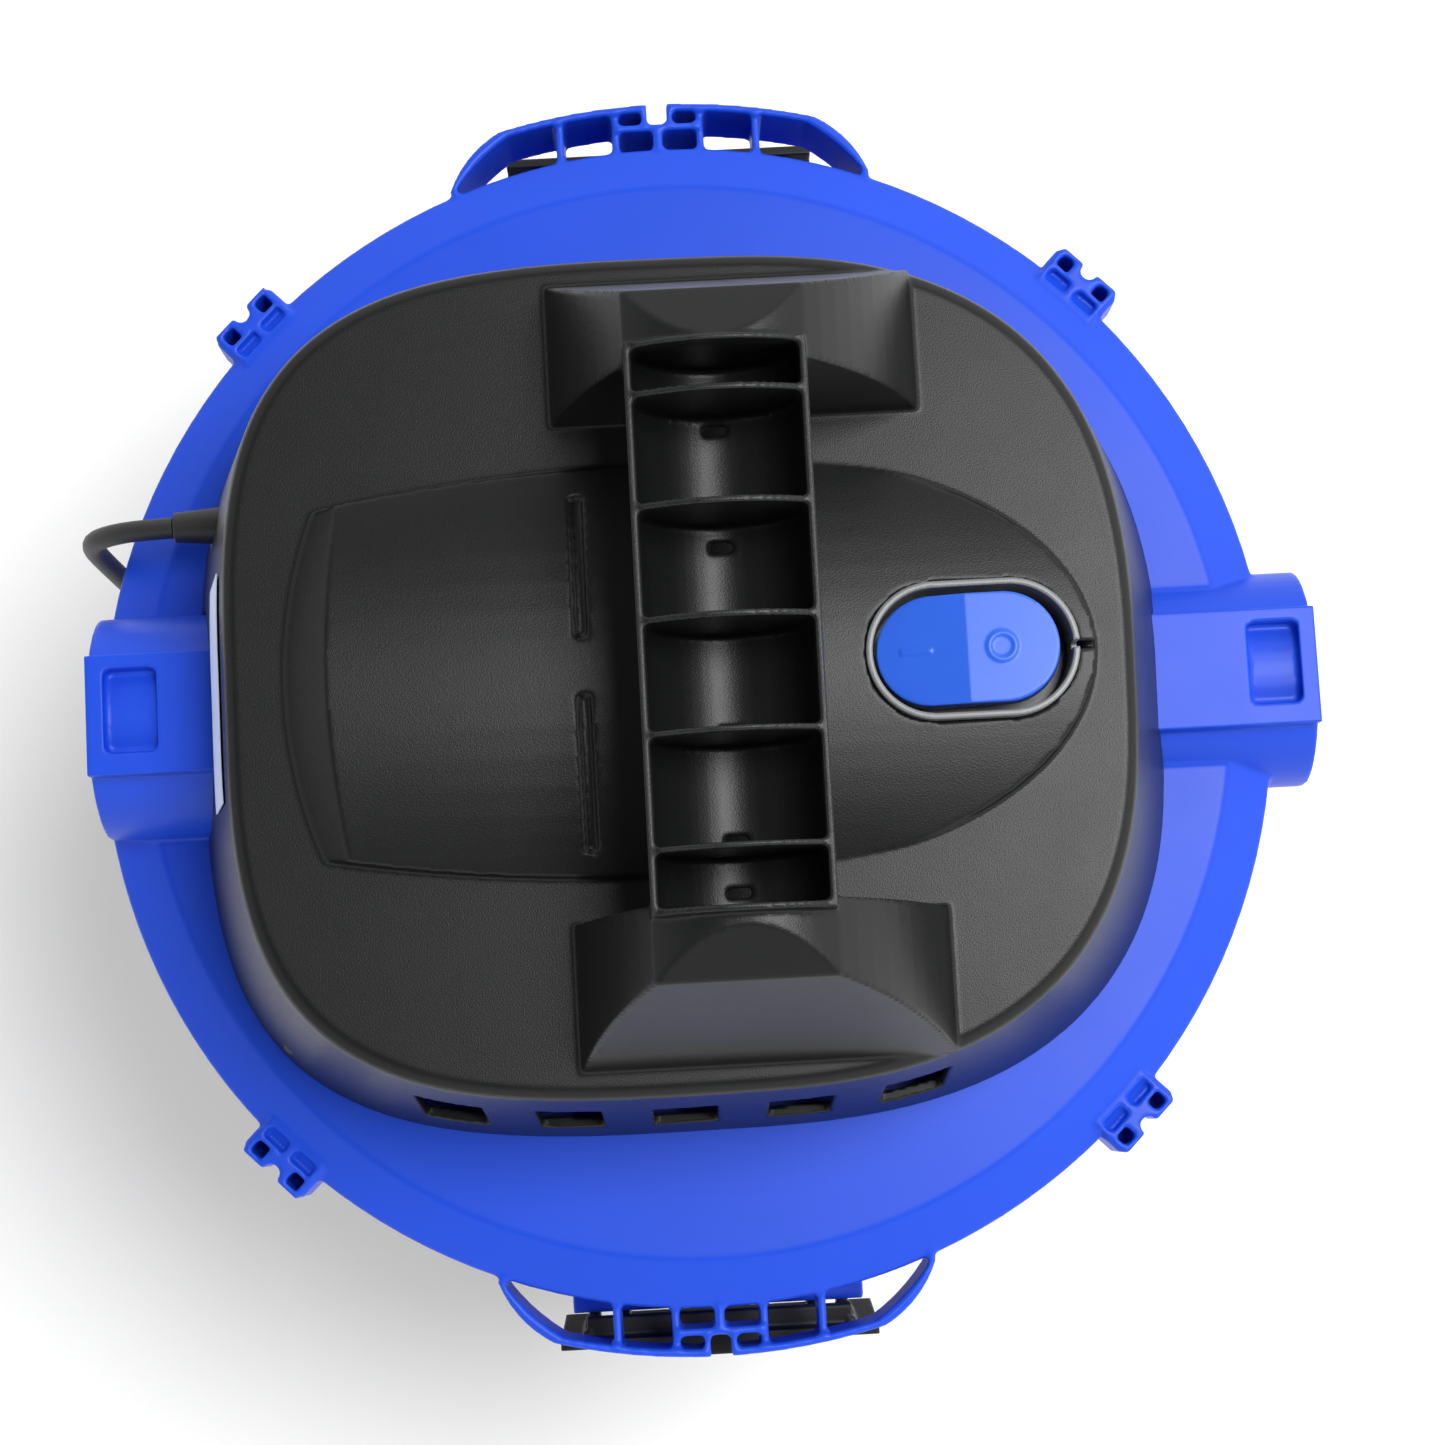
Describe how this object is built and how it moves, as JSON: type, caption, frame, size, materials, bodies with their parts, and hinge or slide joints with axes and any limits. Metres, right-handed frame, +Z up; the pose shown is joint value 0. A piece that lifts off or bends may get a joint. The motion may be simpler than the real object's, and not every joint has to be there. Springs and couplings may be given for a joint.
{
  "type": "shop vacuum",
  "caption": "Small wet and dry shop vacuum: round drum on casters, lift-off powered head with a top handle, rocker switch, two hose ports and side latches.",
  "frame": {"origin": "on the floor under the middle of the object's bounding box", "axes": "+X towards the hose inlet and the switch, +Y along the handle, +Z up"},
  "size_m": [0.3759, 0.4174, 0.4884],
  "materials": {
    "cover_black": "fine moulded texture, satin",
    "bezel_grey": "satin moulded ring",
    "lid_blue": "semi-gloss moulded",
    "button_blue": "smooth semi-gloss",
    "drum_black": "satin moulded",
    "latch_black": "satin moulded",
    "label_white": "matte film",
    "cord_rubber": "soft satin jacket",
    "seal_rubber": "matte",
    "steel": "bright turned",
    "pressed_steel": "zinc plated",
    "core_steel": "stacked laminations",
    "copper": "enamelled copper wire",
    "carbon": "pressed carbon",
    "brass": "bright",
    "alloy": "pressed sheet",
    "inner_plastic": "moulded",
    "float_plastic": "moulded",
    "foam": "open-cell foam",
    "caster_plastic": "moulded",
    "wheel_rubber": "hard satin tread"
  },
  "bodies": {
    "drum": {"drum": "drum_black", "caster_sockets": "inner_plastic", "latch_pins": "steel", "cord_coil": "cord_rubber", "plug": "cord_rubber", "plug_blades": "brass"},
    "head": {"lid": "lid_blue", "lid_seal": "seal_rubber", "motor_cover": "cover_black", "cover_screws": "steel", "rating_label": "label_white", "switch_bezel": "bezel_grey", "switch_body": "inner_plastic", "strain_relief": "cord_rubber", "motor_gasket": "seal_rubber", "fan_shroud": "pressed_steel", "motor_screws": "steel", "bearing_low": "steel", "bearing_top": "steel", "motor_bracket_low": "pressed_steel", "motor_bracket_top": "pressed_steel", "field_core": "core_steel", "field_coils": "copper", "carbon_brushes": "carbon", "brush_holders": "brass", "brush_springs": "steel", "exhaust_foam": "foam", "filter_cage": "inner_plastic", "foam_sleeve": "foam", "sleeve_retainer": "seal_rubber", "inlet_deflector": "inner_plastic", "power_cord": "cord_rubber"},
    "rotor": {"impeller": "alloy", "impeller_nut": "steel", "motor_shaft": "steel", "armature_core": "core_steel", "armature_windings": "copper", "commutator": "copper", "cooling_fan": "inner_plastic"},
    "rocker": {"rocker_button": "button_blue"},
    "float": {"float_ball": "float_plastic"},
    "latch_left": {"latch_left": "latch_black"},
    "latch_right": {"latch_right": "latch_black"},
    "caster_1": {"caster_yoke_1": "caster_plastic", "caster_stem_1": "steel", "caster_axle_1": "steel"},
    "wheel_1": {"caster_wheel_1": "wheel_rubber"},
    "caster_2": {"caster_yoke_2": "caster_plastic", "caster_stem_2": "steel", "caster_axle_2": "steel"},
    "wheel_2": {"caster_wheel_2": "wheel_rubber"},
    "caster_3": {"caster_yoke_3": "caster_plastic", "caster_stem_3": "steel", "caster_axle_3": "steel"},
    "wheel_3": {"caster_wheel_3": "wheel_rubber"},
    "caster_4": {"caster_yoke_4": "caster_plastic", "caster_stem_4": "steel", "caster_axle_4": "steel"},
    "wheel_4": {"caster_wheel_4": "wheel_rubber"}
  },
  "joints": [
    {"name": "head_lift", "type": "slide", "parent": "drum", "child": "head", "axis": [0, 0, 1], "range_m": [0, 0.2]},
    {"name": "rotor_spin", "type": "hinge", "parent": "head", "child": "rotor", "pos_m": [-0.005, 0, 0.376], "axis": [0, 0, 1], "continuous": true},
    {"name": "switch_rocker", "type": "hinge", "parent": "head", "child": "rocker", "pos_m": [0.07, 0, 0.4115], "axis": [0, 1, 0], "range_deg": [0, 14]},
    {"name": "float_rise", "type": "slide", "parent": "head", "child": "float", "axis": [0, 0, 1], "range_m": [0, 0.082]},
    {"name": "latch_left_hinge", "type": "hinge", "parent": "drum", "child": "latch_left", "pos_m": [-0.005, 0.168, 0.238], "axis": [-1, 0, 0], "range_deg": [-7, 143]},
    {"name": "latch_right_hinge", "type": "hinge", "parent": "drum", "child": "latch_right", "pos_m": [-0.005, -0.168, 0.238], "axis": [1, 0, 0], "range_deg": [-7, 143]},
    {"name": "caster_1_swivel", "type": "hinge", "parent": "drum", "child": "caster_1", "pos_m": [0.07844, 0.08344, 0.04], "axis": [0, 0, 1], "continuous": true},
    {"name": "caster_1_roll", "type": "hinge", "parent": "caster_1", "child": "wheel_1", "pos_m": [0.06847, 0.07879, 0.017], "axis": [-0.4226, 0.9063, 0], "continuous": true},
    {"name": "caster_2_swivel", "type": "hinge", "parent": "drum", "child": "caster_2", "pos_m": [-0.08844, 0.08344, 0.04], "axis": [0, 0, 1], "continuous": true},
    {"name": "caster_2_roll", "type": "hinge", "parent": "caster_2", "child": "wheel_2", "pos_m": [-0.08001, 0.07637, 0.017], "axis": [-0.6428, -0.766, 0], "continuous": true},
    {"name": "caster_3_swivel", "type": "hinge", "parent": "drum", "child": "caster_3", "pos_m": [-0.08844, -0.08344, 0.04], "axis": [0, 0, 1], "continuous": true},
    {"name": "caster_3_roll", "type": "hinge", "parent": "caster_3", "child": "wheel_3", "pos_m": [-0.0781, -0.07968, 0.017], "axis": [0.342, -0.9397, 0], "continuous": true},
    {"name": "caster_4_swivel", "type": "hinge", "parent": "drum", "child": "caster_4", "pos_m": [0.07844, -0.08344, 0.04], "axis": [0, 0, 1], "continuous": true},
    {"name": "caster_4_roll", "type": "hinge", "parent": "caster_4", "child": "wheel_4", "pos_m": [0.07001, -0.07637, 0.017], "axis": [0.6428, 0.766, 0], "continuous": true}
  ]
}
